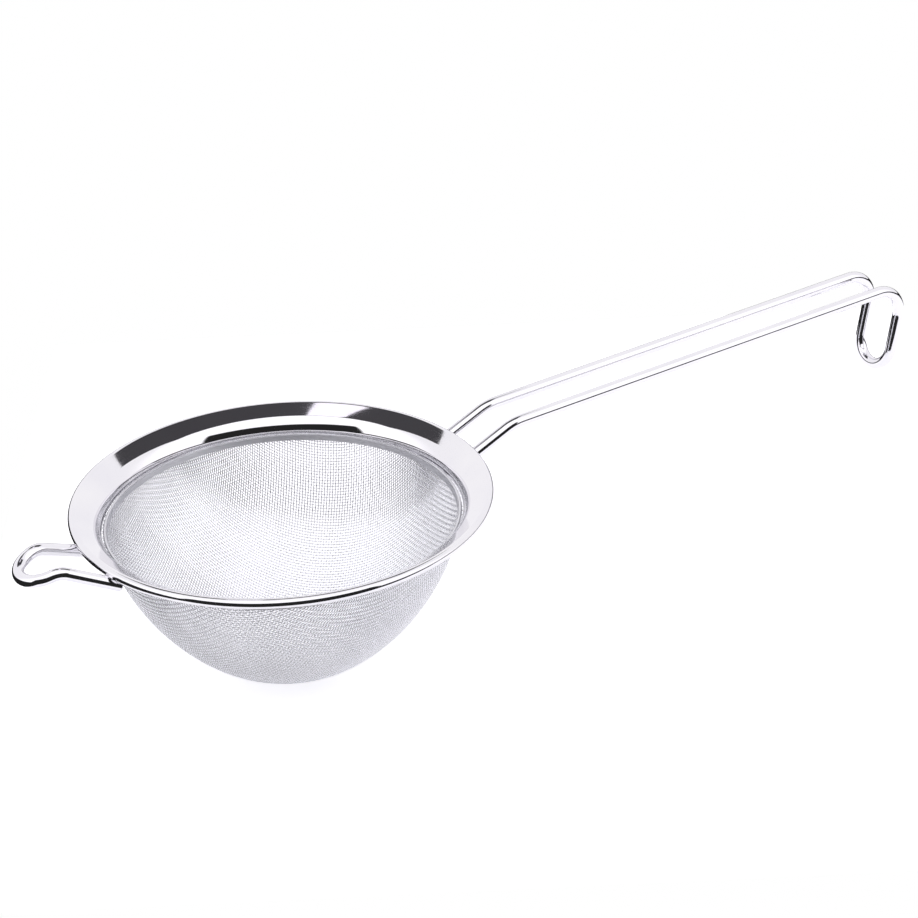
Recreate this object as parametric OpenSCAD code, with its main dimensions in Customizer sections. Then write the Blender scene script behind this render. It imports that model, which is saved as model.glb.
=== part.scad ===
// Tea strainer: a flared rim collar with a woven wire bowl clamped in its neck,
// a long handle bent from one wire and a short rest loop opposite it.
// Millimetres, +Z up. The origin is the centre of the mouth, in the plane of the
// rim's highest points; the handle runs along +X and the rest loop along -X.

/* [Part] */
// sub-part to draw

/* [Rim] */
// outside diameter over the rolled edge
rim_d = 100; // [96:1:104]
// thickness of the rolled edge
roll_d = 2.3; // [2.1:0.1:2.5]
// sheet thickness of the flare and neck
sheet_t = 0.6; // [0.5:0.1:0.7]
// inside diameter of the neck
neck_d = 85.1; // [85:0.05:85.2]
// depth of the neck's upper corner below the rim plane
neck_top = 3.25; // [3:0.05:3.6]
// depth of the neck's lower edge below the rim plane
neck_bottom = 6.9; // [6.7:0.05:7.2]

/* [Bowl] */
// thickness of the woven cloth, two wires
cloth_t = 0.5; // [0.4:0.1:0.5]
// depth of the bowl's lowest point below the rim plane
bowl_depth = 46.2; // [46.1:0.05:46.3]
// radius of the rounded bottom
bottom_r = 36.3; // [36.2:0.05:36.4]
// radius of the straighter side
side_r = 55.5; // [55.3:0.1:55.7]
// where the side takes over from the bottom, in degrees from straight down
side_from = 38.2; // [38:0.1:38.4]

/* [Clamp ring] */
// depth of the ring's upper edge below the rim plane
ring_top = 5.5; // [5.4:0.05:5.7]
// height of the ring
ring_h = 1.6; // [1.4:0.05:1.7]
// thickness of the ring
ring_t = 0.5; // [0.4:0.1:0.6]

/* [Handle] */
// wire diameter of the handle and the rest loop
wire_d = 3; // [2.8:0.1:3]
// half the distance between the two arms
arm_y = 6; // [5.6:0.1:6.4]
// where the wire ends under the rim
root_x = 45.5; // [45:0.1:46.5]
// where the rising part would meet the long part
bend_x = 61.2; // [60:0.2:63]
// height of that corner above the rim plane
bend_z = 2.6; // [2.4:0.05:2.8]
// slope of the rising part, in degrees
rise = 23.5; // [23:0.5:24]
// slope of the long part, in degrees
climb = 2; // [0.5:0.25:3]
// bend radius between the two
bend_r = 12; // [8:1:16]
// corner where the long part would meet the hook's legs
hook_x = 184; // [150:0.1:220]
// how far the hook turns down, in degrees
hook_turn = 104.5; // [90:0.5:110]
// bend radius of the hook's top
hook_r = 7; // [6:0.1:9]
// straight length of each leg
leg_l = 9.2; // [7:0.1:14]

/* [Rest loop] */
// distance of the loop's tip from the bowl axis, to the wire's middle
tip_x = 66.1; // [65.5:0.1:67]
// depth of the tip below the rim plane, to the wire's middle
tip_drop = 0.35; // [0.2:0.05:0.6]
// radius of the tip
tip_r = 6.2; // [6:0.1:6.4]
// how far the tip dips, in degrees
tip_dip = 17; // [15:0.5:18]
// how far each arm spreads, in degrees
tip_fan = 13; // [11:1:14]
// slope of the arms, in degrees
rest_rise = 25; // [24.5:0.5:25.5]
// bend radius between the arms and the tip
rest_bend_r = 5.1; // [4.8:0.1:5.6]
// straight length of each arm
rest_arm_l = 12.8; // [12.6:0.1:13]

/* [Welds] */
// radius of a weld bead
weld_r = 0.95; // [0.9:0.05:1]
// length of a weld bead
weld_l = 2.2; // [1.8:0.1:2.6]
// how far its middle stands off the wire's axis
weld_lift = 1.5; // [1.45:0.05:1.55]
// where the handle's welds sit, from the bowl axis
weld_x = 46.8; // [46.6:0.1:47]

/* [Hidden] */
$fn = 144;
wire_fn = 48;
rim_r = rim_d / 2;
roll_r = roll_d / 2;
roll_c = rim_r - roll_r;
neck_r = neck_d / 2;
wire_r = wire_d / 2;
// straight wires run this far into the bends, and are this much thinner, to join cleanly
lap = 0.05;

// the flare leaves the rolled edge along its upper tangent, sunk in a little
flare_run = roll_c - neck_r;
flare_fall = neck_top - roll_r;
flare_sink = 0.06;
flare_lift = roll_r - flare_sink;
flare_a = atan2(flare_fall, flare_run) + asin(flare_lift / norm([flare_run, flare_fall]));
flare_down = sheet_t * (1 / cos(flare_a) - tan(flare_a));

// middles of the two arcs that make the bowl's outline
bottom_c = [0, bottom_r - bowl_depth];
side_c = bottom_c + (side_r - bottom_r) * [-sin(side_from), cos(side_from)];
cloth_top = -ring_top - 0.2;

// handle: headings are degrees above +X
leg_a = climb - hook_turn;
bend_reach = bend_r * tan((rise - climb) / 2);
hook_z = bend_z + (hook_x - bend_x) * tan(climb);
hook_reach = hook_r * tan(hook_turn / 2);

// rest loop: the tip's middle, where its arc ends and the heading there
tip_c = [-tip_x + tip_r * cos(tip_dip), 0, tip_r * sin(tip_dip) - tip_drop];
tip_t = 90 - tip_fan;
tip_end = tip_c + tip_r * [-cos(tip_t) * cos(tip_dip), sin(tip_t), -cos(tip_t) * sin(tip_dip)];
arm_turn = atan2(cos(tip_t), sin(tip_t) * cos(tip_dip));
arm_pitch = asin(sin(tip_t) * sin(tip_dip));
rest_gap = 0.4;
arm_first = ahead([0, 0, 0], arm_pitch, rest_gap);
arm_last = arm_first + rest_bend_r * [
    sin(arm_pitch) + sin(rest_rise), 0, cos(rest_rise) - cos(arm_pitch)
];

// a point a given length along a heading in the XZ plane
function ahead(p, a, l) = p + l * [cos(a), 0, sin(a)];

// straight round wire from p, with its heading in the XZ plane
module rod(p, a, l) {
    translate(ahead(p, a, -lap))
        rotate([0, 90 - a, 0])
            cylinder(h = l + 2 * lap, r = wire_r - lap / 10, $fn = wire_fn);
}

// downward bend that starts at p with heading a and turns by a given angle
module elbow(p, a, turn, r) {
    translate(p - r * [-sin(a), 0, cos(a)])
        rotate([90, 0, 0])
            rotate([0, 0, a + 90 - turn])
                rotate_extrude(angle = turn)
                    translate([r, 0])
                        circle(r = wire_r, $fn = wire_fn);
}

// one outline of the bowl in the r-z half plane, drawn inwards by a given amount
module bowl_outline(inset) {
    low = bottom_r - inset;
    high = side_r - inset;
    reach = 2 * side_r;
    // the bottom arc's share lies below the line through both middles
    intersection() {
        translate(bottom_c)
            circle(r = low);
        polygon([
            bottom_c,
            bottom_c + reach * [sin(side_from), -cos(side_from)],
            bottom_c + reach * [0, -1]
        ]);
    }
    // the side arc's share lies above it
    intersection() {
        translate(side_c)
            circle(r = high);
        polygon([
            bottom_c,
            bottom_c + reach * [sin(side_from), -cos(side_from)],
            [reach, cloth_top],
            [0, cloth_top]
        ]);
    }
}

module rolled_edge() {
    rotate_extrude()
        translate([roll_c, -roll_r])
            circle(r = roll_r, $fn = wire_fn);
}

module rim_collar() {
    square_to_flare = [-sin(flare_a), cos(flare_a)];
    top = [roll_c, -roll_r] + flare_lift * square_to_flare;
    color("silver")
        rotate_extrude() {
            translate([roll_c, -roll_r])
                circle(r = roll_r, $fn = wire_fn);
            polygon([
                top,
                [neck_r, -neck_top],
                [neck_r, -neck_bottom],
                [neck_r + sheet_t, -neck_bottom],
                [neck_r + sheet_t, -neck_top - flare_down],
                top - sheet_t * square_to_flare
            ]);
        }
}

module clamp_ring() {
    outer = neck_r - cloth_t;
    lean = 0.35;
    straight = 0.3;
    color("gray")
        rotate_extrude()
            polygon([
                [outer - ring_t, -ring_top],
                [outer, -ring_top],
                [outer, -ring_top - straight],
                [outer - lean, -ring_top - ring_h],
                [outer - lean - ring_t, -ring_top - ring_h],
                [outer - ring_t, -ring_top - straight]
            ]);
}

module mesh_bowl() {
    // the cloth's edge is pressed flat against the neck
    color("gainsboro")
        rotate_extrude()
            intersection() {
                difference() {
                    bowl_outline(0);
                    bowl_outline(cloth_t);
                }
                translate([0, -2 * bowl_depth])
                    square([neck_r, 2 * bowl_depth + cloth_top]);
            }
}

module handle_arm() {
    start = ahead([bend_x, 0, bend_z], rise, -bend_reach);
    root = ahead([bend_x, 0, bend_z], rise, -(bend_x - root_x) / cos(rise));
    level = ahead([bend_x, 0, bend_z], climb, bend_reach);
    over = ahead([hook_x, 0, hook_z], climb, -hook_reach);
    leg = ahead([hook_x, 0, hook_z], leg_a, hook_reach);
    rod(root, rise, norm(start - root));
    elbow(start, rise, rise - climb, bend_r);
    rod(level, climb, norm(over - level));
    elbow(over, climb, hook_turn, hook_r);
    rod(leg, leg_a, leg_l);
}

module handle_wire() {
    turn_c = ahead([hook_x, 0, hook_z], leg_a, hook_reach + leg_l);
    // the weld sinks each end a little into the rolled edge
    color("silver")
        difference() {
            union() {
                for (side = [-1, 1])
                    translate([0, side * arm_y, 0])
                        handle_arm();
                // the two legs join in a half circle
                translate(turn_c)
                    rotate([0, 180 - leg_a, 0])
                        rotate([0, 0, 90])
                            rotate_extrude(angle = 180)
                                translate([arm_y, 0])
                                    circle(r = wire_r, $fn = wire_fn);
            }
            rolled_edge();
        }
}

// the left arm of the rest loop, from the tip's arc to its cut end
module rest_arm() {
    translate(tip_end)
        rotate([0, 0, arm_turn]) {
            rod([0, 0, 0], arm_pitch, rest_gap);
            elbow(arm_first, arm_pitch, arm_pitch + rest_rise, rest_bend_r);
            rod(arm_last, -rest_rise, rest_arm_l);
        }
}

module rest_loop() {
    color("silver")
        difference() {
            union() {
                rest_arm();
                mirror([0, 1, 0])
                    rest_arm();
                translate(tip_c)
                    rotate([0, 180 - tip_dip, 0])
                        rotate([0, 0, -tip_t])
                            rotate_extrude(angle = 2 * tip_t)
                                translate([tip_r, 0])
                                    circle(r = wire_r, $fn = wire_fn);
            }
            rolled_edge();
        }
}

// short bead laid along the top of a wire, p being the middle of its foot on the wire's axis
module weld_bead(p, a) {
    translate(ahead(p, a, -weld_l / 2) + weld_lift * [-sin(a), 0, cos(a)])
        rotate([0, 90 - a, 0])
            cylinder(h = weld_l, r = weld_r, $fn = wire_fn);
}

// weld between the rising wire and the flare, left side
module handle_weld() {
    corner = [bend_x, arm_y, bend_z];
    color("dimgray")
        difference() {
            weld_bead(ahead(corner, rise, -(bend_x - weld_x) / cos(rise)), rise);
            rim_collar();
            handle_wire();
        }
}

module rest_weld() {
    color("dimgray")
        difference() {
            translate(tip_end)
                rotate([0, 0, arm_turn])
                    weld_bead(ahead(arm_last, -rest_rise, rest_arm_l - weld_l / 2), -rest_rise);
            rim_collar();
            rest_loop();
        }
}

module handle_weld_left() {
    handle_weld();
}

module handle_weld_right() {
    mirror([0, 1, 0])
        handle_weld();
}

module rest_loop_weld_left() {
    rest_weld();
}

module rest_loop_weld_right() {
    mirror([0, 1, 0])
        rest_weld();
}

rim_collar();
clamp_ring();
mesh_bowl();
handle_wire();
rest_loop();
handle_weld_left();
handle_weld_right();
rest_loop_weld_left();
rest_loop_weld_right();
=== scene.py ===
import math

import bmesh
import bpy
import numpy as np
from mathutils import Matrix, Vector


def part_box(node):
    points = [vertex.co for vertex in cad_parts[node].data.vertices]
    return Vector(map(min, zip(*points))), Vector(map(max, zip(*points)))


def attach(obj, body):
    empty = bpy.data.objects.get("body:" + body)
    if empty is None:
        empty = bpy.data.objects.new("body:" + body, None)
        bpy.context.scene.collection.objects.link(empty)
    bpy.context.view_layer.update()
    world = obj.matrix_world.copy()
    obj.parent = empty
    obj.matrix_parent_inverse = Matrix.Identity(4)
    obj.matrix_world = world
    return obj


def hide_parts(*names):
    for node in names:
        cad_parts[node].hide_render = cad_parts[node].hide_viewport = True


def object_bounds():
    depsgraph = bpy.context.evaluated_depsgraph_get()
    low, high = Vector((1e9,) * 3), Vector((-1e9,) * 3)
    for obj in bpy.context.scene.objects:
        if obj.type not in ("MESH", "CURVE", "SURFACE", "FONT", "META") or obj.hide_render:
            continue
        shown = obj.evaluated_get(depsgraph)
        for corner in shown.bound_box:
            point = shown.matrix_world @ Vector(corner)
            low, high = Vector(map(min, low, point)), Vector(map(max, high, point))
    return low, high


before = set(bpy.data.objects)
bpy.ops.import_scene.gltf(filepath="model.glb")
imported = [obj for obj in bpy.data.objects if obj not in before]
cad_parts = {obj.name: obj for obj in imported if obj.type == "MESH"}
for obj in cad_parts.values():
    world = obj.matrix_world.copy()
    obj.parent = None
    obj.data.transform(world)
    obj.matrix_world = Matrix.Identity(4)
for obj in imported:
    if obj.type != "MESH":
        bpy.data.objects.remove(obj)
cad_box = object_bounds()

# ---- Rim collar -------------------------------------------------------------
# One spun sheet of stainless steel: a flared collar whose outer edge is curled
# under into a round bead and whose inner edge turns down into a short neck.
# Spun, trimmed, curled and then mirror polished.

MM = 0.001
rim_low, rim_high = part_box("rim_collar")
rim_r = rim_high.x
sheet = 0.6 * MM
bead_r = 1.15 * MM
bead_x = rim_r - bead_r
neck_r = 42.55 * MM
neck_corner = -3.25 * MM
neck_trim = 0.8 * MM        # how far the neck stops short of the CAD part's lower edge
neck_edge = rim_low.z + neck_trim
neck_bend_in = 2.75 * MM
neck_bend_out = 2.4 * MM
lip_ease = 0.12 * MM

flare_run = bead_x - neck_r
flare_fall = -neck_corner - bead_r
flare_slope = math.atan2(flare_fall, flare_run) + math.asin(bead_r / math.hypot(flare_run, flare_fall))


def spun(bm, profile, steps):
    """Turns an outline in the XZ plane right round the bowl's axis."""
    bmesh.ops.spin(bm, geom=profile, cent=(0, 0, 0), axis=(0, 0, 1), angle=math.tau,
                   steps=steps, use_merge=True)
    bmesh.ops.remove_doubles(bm, verts=bm.verts[:], dist=1e-7)
    bmesh.ops.recalc_face_normals(bm, faces=bm.faces[:])


def outline(bm, points, closed):
    """Joins a few corner points in the XZ plane with edges."""
    corners = [bm.verts.new((x, 0, z)) for x, z in points]
    for one, other in zip(corners, corners[1:]):
        bm.edges.new((one, other))
    if closed:
        bm.edges.new((corners[-1], corners[0]))
    return corners


def eased(bm, corner, offset, segments):
    """Rounds one corner of an outline."""
    bmesh.ops.bevel(bm, geom=[corner], offset=offset, offset_type="OFFSET", affect="VERTICES",
                    segments=segments, profile=0.5, material=-1)


def made(bm, name, sharp=40):
    """Hands the shape over as one smooth shaded object, creased only at real corners."""
    mesh = bpy.data.meshes.new(name)
    bm.to_mesh(mesh)
    bm.free()
    mesh.polygons.foreach_set("use_smooth", [True] * len(mesh.polygons))
    mesh.set_sharp_from_angle(angle=math.radians(sharp))
    piece = bpy.data.objects.new(name, mesh)
    bpy.context.scene.collection.objects.link(piece)
    return piece


bm = bmesh.new()
under = sheet * (1 / math.cos(flare_slope) - math.tan(flare_slope))
curl_top = bm.verts.new((bead_x - bead_r * math.sin(flare_slope), 0,
                         -bead_r + bead_r * math.cos(flare_slope)))
curl = math.tau - math.acos(1 - sheet / bead_r)
rolled = bmesh.ops.spin(bm, geom=[curl_top], cent=(bead_x, 0, -bead_r), axis=(0, 1, 0), angle=curl, steps=30)
curl_tip = [part for part in rolled["geom_last"] if isinstance(part, bmesh.types.BMVert)][0]
inside, lip_in, lip_out, outside = outline(bm, [
    (neck_r, neck_corner), (neck_r, neck_edge), (neck_r + sheet, neck_edge),
    (neck_r + sheet, neck_corner - under)], closed=False)
bm.edges.new((curl_top, inside))
bm.edges.new((outside, curl_tip))
eased(bm, inside, neck_bend_in, 18)
eased(bm, outside, neck_bend_out, 14)
eased(bm, lip_in, lip_ease, 2)
eased(bm, lip_out, lip_ease, 2)
spun(bm, bm.verts[:] + bm.edges[:], 288)
rim = made(bm, "rim_collar_sheet", 50)


def metal(name, colour, roughness, metallic=1.0):
    """A bare metal, with the nodes' tree, its shader and the piece's own coordinates."""
    material = bpy.data.materials.new(name)
    material.use_nodes = True
    tree = material.node_tree
    shader = tree.nodes["Principled BSDF"]
    shader.inputs["Base Color"].default_value = (*colour, 1)
    shader.inputs["Metallic"].default_value = metallic
    shader.inputs["Roughness"].default_value = roughness
    place = tree.nodes.new("ShaderNodeTexCoord")
    return material, tree, shader, place.outputs["Object"]


def grain(tree, where, scale, stretch, detail=3.0):
    """Fine noise, drawn out along the directions that the tool marks follow."""
    mapping = tree.nodes.new("ShaderNodeMapping")
    mapping.inputs["Scale"].default_value = stretch
    noise = tree.nodes.new("ShaderNodeTexNoise")
    noise.inputs["Scale"].default_value = scale
    noise.inputs["Detail"].default_value = detail
    tree.links.new(where, mapping.inputs["Vector"])
    tree.links.new(mapping.outputs["Vector"], noise.inputs["Vector"])
    return noise.outputs["Fac"]


def spread(tree, value, low, high):
    """Spreads a noise value between a low and a high reading."""
    ranged = tree.nodes.new("ShaderNodeMapRange")
    ranged.inputs["From Min"].default_value = 0.3
    ranged.inputs["From Max"].default_value = 0.7
    ranged.inputs["To Min"].default_value = low
    ranged.inputs["To Max"].default_value = high
    tree.links.new(value, ranged.inputs["Value"])
    return ranged.outputs["Result"]


def tinted(tree, value, dark, light):
    """Lets a noise value run between two close shades of the same metal."""
    ramp = tree.nodes.new("ShaderNodeValToRGB")
    ramp.color_ramp.elements[0].position = 0.3
    ramp.color_ramp.elements[0].color = (*dark, 1)
    ramp.color_ramp.elements[1].position = 0.7
    ramp.color_ramp.elements[1].color = (*light, 1)
    tree.links.new(value, ramp.inputs["Fac"])
    return ramp.outputs["Color"]


def bumped(tree, shader, height, strength, distance):
    """Presses the marks into the surface."""
    bump = tree.nodes.new("ShaderNodeBump")
    bump.inputs["Strength"].default_value = strength
    bump.inputs["Distance"].default_value = distance
    tree.links.new(height, bump.inputs["Height"])
    tree.links.new(bump.outputs["Normal"], shader.inputs["Normal"])


def turned(tree, where):
    """Radius, angle and height of a spun piece, so that its marks run round the axis."""
    parts = tree.nodes.new("ShaderNodeSeparateXYZ")
    tree.links.new(where, parts.inputs["Vector"])
    flat = tree.nodes.new("ShaderNodeVectorMath")
    flat.operation = "MULTIPLY"
    flat.inputs[1].default_value = (1, 1, 0)
    tree.links.new(where, flat.inputs[0])
    radius = tree.nodes.new("ShaderNodeVectorMath")
    radius.operation = "LENGTH"
    tree.links.new(flat.outputs["Vector"], radius.inputs[0])
    angle = tree.nodes.new("ShaderNodeMath")
    angle.operation = "ARCTAN2"
    tree.links.new(parts.outputs["Y"], angle.inputs[0])
    tree.links.new(parts.outputs["X"], angle.inputs[1])
    joined = tree.nodes.new("ShaderNodeCombineXYZ")
    tree.links.new(radius.outputs["Value"], joined.inputs["X"])
    tree.links.new(angle.outputs["Value"], joined.inputs["Y"])
    tree.links.new(parts.outputs["Z"], joined.inputs["Z"])
    return joined.outputs["Vector"]


polished, tree, shader, where = metal("polished_rim_steel", (0.83, 0.82, 0.85), 0.05)
marks = grain(tree, turned(tree, where), 1.0, (9000, 3, 9000))
clouds = grain(tree, where, 60, (1, 1, 1))
shades = tinted(tree, clouds, (0.81, 0.80, 0.84), (0.86, 0.85, 0.87))
tree.links.new(shades, shader.inputs["Base Color"])
tree.links.new(spread(tree, marks, 0.03, 0.075), shader.inputs["Roughness"])
bumped(tree, shader, marks, 0.05, 0.00001)
rim.data.materials.append(polished)
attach(rim, "root")
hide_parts("rim_collar")

# ---- Wire bowl --------------------------------------------------------------
# Plain-woven cloth of bright stainless wire, drawn to a bowl so that the cells
# keep their sides and shear towards the diagonals. Its cut edge goes up between
# the neck and the clamp ring.

cloth_low, cloth_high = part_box("mesh_bowl")
wire = 0.24 * MM
pitch = 0.7 * MM
crimp = 0.13 * MM
cloth_half = 0.25 * MM
skew = math.radians(-43)
bottom_r = 36.3 * MM
side_r = 55.5 * MM
side_from = math.radians(38.2)
bottom_c = np.array([0.0, cloth_low.z + bottom_r])
side_c = bottom_c + (side_r - bottom_r) * np.array([-math.sin(side_from), math.cos(side_from)])
cloth_edge = cloth_high.z - 0.1 * MM


def off_surface(p):
    """Distance of a point from the cloth's middle, and the outward direction there."""
    rho = math.hypot(p[0], p[1])
    lean = math.atan2(rho - bottom_c[0], bottom_c[1] - p[2])
    centre, radius = (bottom_c, bottom_r) if lean < side_from else (side_c, side_r)
    across, up = rho - centre[0], p[2] - centre[1]
    length = math.hypot(across, up)
    around = np.array([p[0], p[1], 0.0]) / max(rho, 1e-9)
    out = around * (across / length) + np.array([0.0, 0.0, up / length])
    return length - (radius - cloth_half), out


def along_meridian(x, y, steps):
    """Crossings on a straight wire through the bottom, one pitch apart."""
    points = [np.array([0.0, 0.0, cloth_low.z + cloth_half])]
    heading = np.array([x, y, 0.0])
    for _ in range(steps):
        last = points[-1]
        _, out = off_surface(last)
        step = heading - out * (heading @ out)
        nearby = last + step / np.linalg.norm(step) * pitch
        for _ in range(3):
            gap, out = off_surface(nearby)
            nearby = nearby - gap * out
            nearby = last + (nearby - last) / np.linalg.norm(nearby - last) * pitch
        points.append(nearby)
        heading = (nearby - last) / pitch
    return points


def crossing(one, other, corner):
    """The point a pitch away from both neighbours, on the cloth's middle."""
    point = one + other - corner
    for _ in range(8):
        gap, out = off_surface(point)
        to_one, to_other = point - one, point - other
        rows = np.array([out, to_one, to_other])
        miss = np.array([gap, (to_one @ to_one - pitch ** 2) / 2,
                         (to_other @ to_other - pitch ** 2) / 2])
        move = np.linalg.solve(rows, miss)
        point = point - move
        if abs(move).max() < 1e-9:
            break
    return point


reach = 95
net = {}
for n, point in enumerate(along_meridian(1.0, 0.0, reach)):
    net[n, 0] = point
for n, point in enumerate(along_meridian(0.0, 1.0, reach)):
    net[0, n] = point
for i in range(1, reach):
    for j in range(1, reach):
        known = [net.get(key) for key in ((i - 1, j), (i, j - 1), (i - 1, j - 1))]
        if any(p is None for p in known) or min(p[2] for p in known[:2]) > cloth_edge:
            continue
        net[i, j] = crossing(*known)

turn = np.array([[math.cos(skew), -math.sin(skew), 0], [math.sin(skew), math.cos(skew), 0], [0, 0, 1]])


def strand(i, direction):
    """Centre points of one wire, passing over and under the ones that cross it."""
    path = []
    for j in range(-reach, reach + 1):
        key = (abs(i), abs(j)) if direction == "warp" else (abs(j), abs(i))
        point = net.get(key)
        if point is None:
            continue
        _, out = off_surface(point)
        over = crimp if (i + j) % 2 == (direction == "warp") else -crimp
        lifted = point + out * over
        flip = (math.copysign(1, i), math.copysign(1, j), 1)
        if direction == "weft":
            flip = (flip[1], flip[0], 1)
        path.append(turn @ (lifted * np.array(flip)))
    inside = [n for n, p in enumerate(path) if p[2] <= cloth_edge]
    if len(inside) < 2:
        return None
    first, last = inside[0], inside[-1]
    kept = path[first:last + 1]
    if first > 0:
        a, b = path[first], path[first - 1]
        kept.insert(0, a + (b - a) * (cloth_edge - a[2]) / (b[2] - a[2]))
    if last + 1 < len(path):
        a, b = path[last], path[last + 1]
        kept.append(a + (b - a) * (cloth_edge - a[2]) / (b[2] - a[2]))
    return kept


bright_wire, tree, shader, where = metal("bright_cloth_wire", (0.88, 0.88, 0.91), 0.24)
shade = grain(tree, where, 900, (1, 1, 1), 2.0)
tree.links.new(tinted(tree, shade, (0.84, 0.84, 0.87), (0.91, 0.91, 0.94)), shader.inputs["Base Color"])
tree.links.new(spread(tree, shade, 0.1, 0.17), shader.inputs["Roughness"])

for direction, halves in (("warp", ("left", "right")), ("weft", ("front", "back"))):
    for half, numbers in zip(halves, (range(-reach, 0), range(0, reach + 1))):
        name = "cloth_" + direction + "_" + half
        curve = bpy.data.curves.new(name, "CURVE")
        curve.dimensions = "3D"
        curve.bevel_depth = wire / 2
        curve.bevel_resolution = 1
        curve.use_fill_caps = True
        for i in numbers:
            path = strand(i, direction)
            if path is None:
                continue
            spline = curve.splines.new("POLY")
            spline.points.add(len(path) - 1)
            spline.points.foreach_set("co", [c for p in path for c in (*p, 1.0)])
            spline.use_smooth = True
        cloth = bpy.data.objects.new(name, curve)
        bpy.context.scene.collection.objects.link(cloth)
        cloth.data.materials.append(bright_wire)
        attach(cloth, "root")
        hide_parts("mesh_bowl")

# ---- Clamp ring -------------------------------------------------------------
# A flat strip of matte steel rolled into a hoop and pressed up inside the neck,
# where it grips the edge of the cloth. Its rubbed upper edge is the bright one.

ring_low, ring_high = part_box("clamp_ring")
ring_out = ring_high.x
ring_t = 0.5 * MM
lean = 0.35 * MM
straight = 0.3 * MM
bm = bmesh.new()
top_in, top_out, waist_out, foot_out, foot_in, waist_in = outline(bm, [
    (ring_out - ring_t, ring_high.z), (ring_out, ring_high.z), (ring_out, ring_high.z - straight),
    (ring_out - lean, ring_low.z), (ring_out - lean - ring_t, ring_low.z),
    (ring_out - ring_t, ring_high.z - straight)], closed=True)
for corner in (waist_out, waist_in):
    eased(bm, corner, 0.15 * MM, 3)
for corner in (top_in, top_out, foot_out, foot_in):
    eased(bm, corner, 0.13 * MM, 4)
spun(bm, bm.verts[:] + bm.edges[:], 240)
ring = made(bm, "clamp_ring_hoop")

matte, tree, shader, where = metal("matte_ring_steel", (0.66, 0.66, 0.69), 0.42)
rolling = grain(tree, turned(tree, where), 1.0, (5000, 12, 9000))
parts = tree.nodes.new("ShaderNodeSeparateXYZ")
tree.links.new(where, parts.inputs["Vector"])
rubbed = tree.nodes.new("ShaderNodeMapRange")
rubbed.inputs["From Min"].default_value = ring_high.z - 0.28 * MM
rubbed.inputs["From Max"].default_value = ring_high.z - 0.10 * MM
rubbed.inputs["To Min"].default_value = 0.42
rubbed.inputs["To Max"].default_value = 0.12
tree.links.new(parts.outputs["Z"], rubbed.inputs["Value"])
tree.links.new(rubbed.outputs["Result"], shader.inputs["Roughness"])
tree.links.new(tinted(tree, rolling, (0.60, 0.60, 0.63), (0.74, 0.74, 0.77)), shader.inputs["Base Color"])
bumped(tree, shader, rolling, 0.15, 0.00002)
ring.data.materials.append(matte)
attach(ring, "root")
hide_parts("clamp_ring")

# ---- Handle -----------------------------------------------------------------
# One length of 3 mm stainless wire, bent double: two arms rise from under the
# rim, run out side by side and turn down into a hook, closed by a half circle.
# The cut ends are only deburred. Polished after bending.

wire_r = 1.5 * MM
chamfer = 0.25 * MM
arm_y = 6 * MM
rise = math.radians(23.5)
climb = math.radians(2)
root_x = 45.5 * MM
bend_x, bend_z = 61.2 * MM, 2.6 * MM
bend_r = 12 * MM
hook_x = 184 * MM
hook_turn = math.radians(104.5)
hook_r = 7 * MM
leg = 9.2 * MM


def heading(a):
    """The direction at an angle above +X, in the XZ plane."""
    return Vector((math.cos(a), 0, math.sin(a)))


def cut_end(bm, at, direction):
    """A round wire's deburred end at a point, ready to be drawn out along a direction."""
    facing = direction.to_track_quat("Z", "X").to_matrix().to_4x4()
    disc = bmesh.ops.create_circle(bm, cap_ends=True, segments=28, radius=wire_r,
                                   matrix=Matrix.Translation(at + direction * chamfer) @ facing)
    edge = [e for e in bm.edges if all(v in disc["verts"] for v in e.verts)]
    drawn = bmesh.ops.extrude_edge_only(bm, edges=edge)
    rim_verts = [part for part in drawn["geom"] if isinstance(part, bmesh.types.BMVert)]
    bmesh.ops.translate(bm, vec=-direction * chamfer, verts=disc["verts"])
    bmesh.ops.scale(bm, vec=(0.84, 0.84, 0.84), verts=disc["verts"], space=Matrix.Translation(-at))
    return [part for part in drawn["geom"] if isinstance(part, bmesh.types.BMEdge)
            and all(v in rim_verts for v in part.verts)]


def drawn_out(bm, edges, direction, length, cuts=1):
    """Runs the wire straight on."""
    for _ in range(cuts):
        moved = bmesh.ops.extrude_edge_only(bm, edges=edges)["geom"]
        verts = [part for part in moved if isinstance(part, bmesh.types.BMVert)]
        bmesh.ops.translate(bm, vec=direction * (length / cuts), verts=verts)
        edges = [part for part in moved if isinstance(part, bmesh.types.BMEdge)
                 and all(v in verts for v in part.verts)]
    return edges


def bent(bm, edges, centre, axis, angle, steps):
    """Bends the wire round a former."""
    moved = bmesh.ops.spin(bm, geom=edges, cent=centre, axis=axis, angle=angle, steps=steps)["geom_last"]
    return [part for part in moved if isinstance(part, bmesh.types.BMEdge)]


bm = bmesh.new()
corner = Vector((bend_x, arm_y, bend_z))
bend_reach = bend_r * math.tan((rise - climb) / 2)
hook_reach = hook_r * math.tan(hook_turn / 2)
root = corner - heading(rise) * ((bend_x - root_x) / math.cos(rise))
start = corner - heading(rise) * bend_reach
level = corner + heading(climb) * bend_reach
hook_corner = Vector((hook_x, arm_y, bend_z + (hook_x - bend_x) * math.tan(climb)))
over = hook_corner - heading(climb) * hook_reach
leg_a = climb - hook_turn
lowest = hook_corner + heading(leg_a) * (hook_reach + leg)

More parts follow.
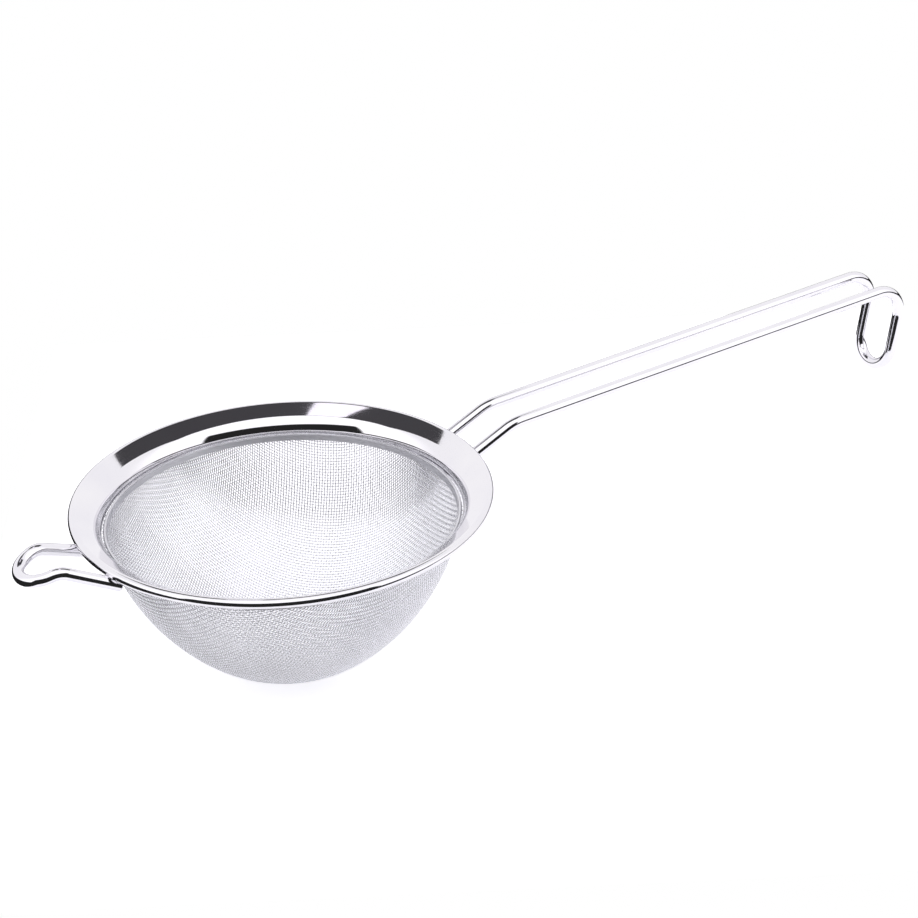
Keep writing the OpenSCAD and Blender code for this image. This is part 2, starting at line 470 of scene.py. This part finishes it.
edges = cut_end(bm, root, heading(rise))
edges = drawn_out(bm, edges, heading(rise), (start - root).length - chamfer, 3)
edges = bent(bm, edges, start - heading(rise + math.pi / 2) * bend_r, (0, 1, 0), rise - climb, 12)
edges = drawn_out(bm, edges, heading(climb), (over - level).length, 12)
edges = bent(bm, edges, over - heading(climb + math.pi / 2) * hook_r, (0, 1, 0), hook_turn, 32)
edges = drawn_out(bm, edges, heading(leg_a), leg, 2)
edges = bent(bm, edges, lowest - Vector((0, arm_y, 0)),
             (math.sin(leg_a), 0, -math.cos(leg_a)), math.pi / 2, 22)
bmesh.ops.mirror(bm, geom=bm.verts[:] + bm.edges[:] + bm.faces[:], axis="Y", merge_dist=0.00001)
bmesh.ops.remove_doubles(bm, verts=bm.verts[:], dist=1e-6)
bmesh.ops.recalc_face_normals(bm, faces=bm.faces[:])
handle = made(bm, "handle_wire_bent", 35)


def drawn_wire(name):
    """Polished drawn wire: bright, with faint marks along it and cloudy buffing."""
    material, tree, shader, where = metal(name, (0.83, 0.82, 0.85), 0.06)
    buffing = grain(tree, where, 90, (1, 1, 1))
    drawing = grain(tree, where, 1400, (0.06, 1, 1))
    shades = tinted(tree, buffing, (0.81, 0.80, 0.84), (0.86, 0.85, 0.88))
    tree.links.new(shades, shader.inputs["Base Color"])
    tree.links.new(spread(tree, drawing, 0.03, 0.09), shader.inputs["Roughness"])
    bumped(tree, shader, drawing, 0.06, 0.00001)
    return material


polished_wire = drawn_wire("polished_wire_steel")
handle.data.materials.append(polished_wire)
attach(handle, "root")
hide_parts("handle_wire")

# ---- Rest loop --------------------------------------------------------------
# A short loop of the same wire opposite the handle. Its two arms are welded on
# under the rim, and its round tip dips to lie on the edge of a cup.

tip_x = 66.1 * MM
tip_drop = 0.35 * MM
tip_r = 6.2 * MM
tip_dip = math.radians(17)
tip_t = math.radians(90 - 13)
rest_rise = math.radians(25)
rest_bend_r = 5.1 * MM
rest_arm = 12.8 * MM
rest_gap = 0.4 * MM

outward = Vector((-math.cos(tip_dip), 0, -math.sin(tip_dip)))
tip_c = Vector((-tip_x, 0, -tip_drop)) - outward * tip_r
arm_turn = math.atan2(math.cos(tip_t), math.sin(tip_t) * math.cos(tip_dip))
arm_pitch = math.asin(math.sin(tip_t) * math.sin(tip_dip))
swing = Matrix.Rotation(arm_turn, 3, "Z")
tip_end = tip_c + tip_r * (outward * math.cos(tip_t) + Vector((0, math.sin(tip_t), 0)))
arm_first = tip_end + swing @ heading(arm_pitch) * rest_gap
arm_last = arm_first + swing @ Vector((math.sin(arm_pitch) + math.sin(rest_rise), 0,
                                       math.cos(rest_rise) - math.cos(arm_pitch))) * rest_bend_r
rest_end = arm_last + swing @ heading(-rest_rise) * rest_arm

bm = bmesh.new()
edges = cut_end(bm, rest_end, swing @ -heading(-rest_rise))
edges = drawn_out(bm, edges, swing @ -heading(-rest_rise), rest_arm - chamfer, 3)
edges = bent(bm, edges, arm_first - swing @ heading(arm_pitch + math.pi / 2) * rest_bend_r,
             swing @ Vector((0, -1, 0)), arm_pitch + rest_rise, 16)
edges = drawn_out(bm, edges, swing @ -heading(arm_pitch), rest_gap, 1)
edges = bent(bm, edges, tip_c, (-math.sin(tip_dip), 0, math.cos(tip_dip)), tip_t, 24)
bmesh.ops.mirror(bm, geom=bm.verts[:] + bm.edges[:] + bm.faces[:], axis="Y", merge_dist=0.00001)
bmesh.ops.remove_doubles(bm, verts=bm.verts[:], dist=1e-6)
bmesh.ops.recalc_face_normals(bm, faces=bm.faces[:])
rest = made(bm, "rest_loop_bent", 35)
rest.data.materials.append(polished_wire)
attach(rest, "root")
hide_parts("rest_loop")

# ---- Welds ------------------------------------------------------------------
# Four small spot welds that hold the wire ends to the underside of the flare.
# The beads are a little lumpy and darker than the steel around them.

weld_r = 0.75 * MM
weld_half = 1.1 * MM
weld_steel, tree, shader, where = metal("spot_weld_steel", (0.4, 0.39, 0.4), 0.34)
scale_marks = grain(tree, where, 2600, (1, 1, 1), 5.0)
scales = tinted(tree, scale_marks, (0.24, 0.23, 0.25), (0.55, 0.54, 0.56))
tree.links.new(scales, shader.inputs["Base Color"])
tree.links.new(spread(tree, scale_marks, 0.22, 0.5), shader.inputs["Roughness"])
bumped(tree, shader, scale_marks, 0.5, 0.00006)


def weld(name, node, direction):
    """A bead drawn out along the wire, swollen in the middle and slightly uneven."""
    low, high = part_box(node)
    middle = (low + high) / 2
    facing = direction.to_track_quat("Z", "X").to_matrix().to_4x4()
    bm = bmesh.new()
    size = Matrix.Diagonal((weld_r, weld_r, weld_half, 1))
    bmesh.ops.create_uvsphere(bm, u_segments=18, v_segments=12, radius=1.0,
                              matrix=Matrix.Translation(middle) @ facing @ size)
    for n, vert in enumerate(bm.verts):
        vert.co += (vert.co - middle) * 0.09 * math.sin(n * 2.4)
    bmesh.ops.smooth_vert(bm, verts=bm.verts[:], factor=0.4,
                          use_axis_x=True, use_axis_y=True, use_axis_z=True)
    piece = made(bm, name, 80)
    piece.data.materials.append(weld_steel)
    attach(piece, "root")
    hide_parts(node)


weld("handle_weld_bead_left", "handle_weld_left", heading(rise))
weld("handle_weld_bead_right", "handle_weld_right", heading(rise))
weld("rest_weld_bead_left", "rest_loop_weld_left", swing @ heading(-rest_rise))
other_swing = Matrix.Rotation(-arm_turn, 3, "Z")
weld("rest_weld_bead_right", "rest_loop_weld_right", other_swing @ heading(-rest_rise))

# ---- Floor and light --------------------------------------------------------
# A white table top inside a white tent. The table ends close to the bowl in front
# and on the left. The tent is open on the camera's side and in a low gap round the
# rest, down to the horizon behind. The card with a light slot shows only in the steel.

tent_ahead = Vector((0.509, 0.861, 0))
tent_turn = Matrix.Rotation(math.atan2(tent_ahead.y, tent_ahead.x), 4, "Z")


def panel(name, near, far, right_side, left_side, height):
    """A flat rectangle of the studio, lying level, measured from the bowl's axis."""
    bm = bmesh.new()
    middle = Vector(((near + far) / 2, (right_side + left_side) / 2, height))
    size = Matrix.Diagonal(((far - near) / 2, (left_side - right_side) / 2, 1, 1))
    bmesh.ops.create_grid(bm, x_segments=4, y_segments=4, size=1.0,
                          matrix=tent_turn @ Matrix.Translation(middle) @ size)
    piece = made(bm, name)
    return piece


floor = panel("floor", -95 * MM, 190 * MM, -700 * MM, 80 * MM, cad_box[0][2])
paper, tree, shader, where = metal("white_table_top", (0.86, 0.86, 0.89), 0.8, 0.0)
fibres = grain(tree, where, 500, (1, 1, 1))
whites = tinted(tree, fibres, (0.85, 0.85, 0.88), (0.87, 0.87, 0.90))
tree.links.new(whites, shader.inputs["Base Color"])
shader.inputs["Emission Color"].default_value = (1.0, 1.0, 1.0, 1)
# The table looks a little brighter to the camera, so that it stays white under the bowl.
bright = tree.nodes.new("ShaderNodeMapRange")
bright.inputs["To Min"].default_value = 0.3
bright.inputs["To Max"].default_value = 0.45
tree.links.new(tree.nodes.new("ShaderNodeLightPath").outputs["Is Camera Ray"], bright.inputs["Value"])
tree.links.new(bright.outputs["Result"], shader.inputs["Emission Strength"])
floor.data.materials.append(paper)

card = panel("dark_card", 50 * MM, 190 * MM, -100 * MM, 130 * MM, 200 * MM)
light_slot = panel("light_slot", 55 * MM, 110 * MM, 24 * MM, 48 * MM, 199 * MM)
for piece, name, glow in ((card, "dark_felt", 0.06), (light_slot, "slot_light", 1.3)):
    lit_sheet = bpy.data.materials.new(name)
    lit_sheet.use_nodes = True
    nodes = lit_sheet.node_tree.nodes
    nodes.remove(nodes["Principled BSDF"])
    emission = nodes.new("ShaderNodeEmission")
    emission.inputs["Color"].default_value = (1, 0.96, 1.05, 1)
    emission.inputs["Strength"].default_value = glow
    lit_sheet.node_tree.links.new(emission.outputs["Emission"], nodes["Material Output"].inputs["Surface"])
    piece.data.materials.append(lit_sheet)
    piece.visible_camera = False
    piece.visible_diffuse = False
    piece.visible_shadow = False
    piece.visible_transmission = False

world = bpy.data.worlds.new("white_tent")
bpy.context.scene.world = world
world.use_nodes = True
tree = world.node_tree
tree.nodes.clear()
looking = tree.nodes.new("ShaderNodeTexCoord").outputs["Generated"]
level_part = tree.nodes.new("ShaderNodeVectorMath")
level_part.operation = "MULTIPLY"
level_part.inputs[1].default_value = (1, 1, 0)
tree.links.new(looking, level_part.inputs[0])
bearing = tree.nodes.new("ShaderNodeVectorMath")
bearing.operation = "NORMALIZE"
tree.links.new(level_part.outputs["Vector"], bearing.inputs[0])
towards = tree.nodes.new("ShaderNodeVectorMath")
towards.operation = "DOT_PRODUCT"
towards.inputs[1].default_value = -tent_ahead
tree.links.new(bearing.outputs["Vector"], towards.inputs[0])
parts = tree.nodes.new("ShaderNodeSeparateXYZ")
tree.links.new(looking, parts.inputs["Vector"])


def eased_range(value, start, end, low, high):
    """A soft edge in the tent, from one reading to another."""
    ranged = tree.nodes.new("ShaderNodeMapRange")
    ranged.interpolation_type = "SMOOTHSTEP"
    ranged.inputs["From Min"].default_value = start
    ranged.inputs["From Max"].default_value = end
    ranged.inputs["To Min"].default_value = low
    ranged.inputs["To Max"].default_value = high
    tree.links.new(value, ranged.inputs["Value"])
    return ranged.outputs["Result"]


def combined(one, other, operation):
    """Two readings of the tent put together."""
    both = tree.nodes.new("ShaderNodeMath")
    both.operation = operation
    tree.links.new(one, both.inputs[0])
    tree.links.new(other, both.inputs[1])
    return both.outputs["Value"]


open_side = combined(eased_range(towards.outputs["Value"], 0.60, 0.66, 0, 1),
                     eased_range(parts.outputs["Z"], 0.56, 0.62, 1, 0), "MULTIPLY")
nearer = eased_range(towards.outputs["Value"], -0.7, 0.2, 0.15, 0)
low_gap = eased_range(combined(parts.outputs["Z"], nearer, "ADD"), 0.13, 0.17, 1, 0)
dark_part = eased_range(combined(open_side, low_gap, "MAXIMUM"), 0, 1, 1, 0.015)
cloth_part = eased_range(towards.outputs["Value"], -0.4, 0.2, 1.04, 1.35)
tent = combined(dark_part, cloth_part, "MULTIPLY")
# The camera sees plain white behind the table, and everything else sees the tent.
seen = tree.nodes.new("ShaderNodeLightPath")
mix = tree.nodes.new("ShaderNodeMixShader")
white = tree.nodes.new("ShaderNodeBackground")
white.inputs["Color"].default_value = (1, 1, 1, 1)
lit = tree.nodes.new("ShaderNodeBackground")
lit.inputs["Color"].default_value = (0.99, 0.98, 1.0, 1)
tree.links.new(tent, lit.inputs["Strength"])
tree.links.new(seen.outputs["Is Camera Ray"], mix.inputs["Fac"])
tree.links.new(lit.outputs["Background"], mix.inputs[1])
tree.links.new(white.outputs["Background"], mix.inputs[2])
out = tree.nodes.new("ShaderNodeOutputWorld")
tree.links.new(mix.outputs["Shader"], out.inputs["Surface"])
bpy.context.scene.view_settings.view_transform = "Standard"

# ---- Camera -----------------------------------------------------------------
# A long lens from the front left and above, at arm's length, with a slight roll.

turn_a, tilt, roll = math.radians(-30.577), math.radians(27.42), math.radians(-2.669)
back = Vector((math.sin(turn_a) * math.cos(tilt), -math.cos(turn_a) * math.cos(tilt),
               math.sin(tilt)))
level_right = Vector((math.cos(turn_a), math.sin(turn_a), 0))
level_up = back.cross(level_right)
right = level_right * math.cos(roll) + level_up * math.sin(roll)
upright = level_up * math.cos(roll) - level_right * math.sin(roll)
eye = right * 41.771 * MM + upright * 8.085 * MM + back * 616.67 * MM
lens = bpy.data.cameras.new("camera")
lens.sensor_width = 36
lens.lens = 103.03
lens.clip_start = 0.01
lens.clip_end = 50
camera = bpy.data.objects.new("camera", lens)
camera.matrix_world = Matrix((
    (right.x, upright.x, back.x, eye.x), (right.y, upright.y, back.y, eye.y),
    (right.z, upright.z, back.z, eye.z), (0, 0, 0, 1)))
bpy.context.scene.collection.objects.link(camera)
bpy.context.scene.camera = camera

bpy.context.view_layer.update()
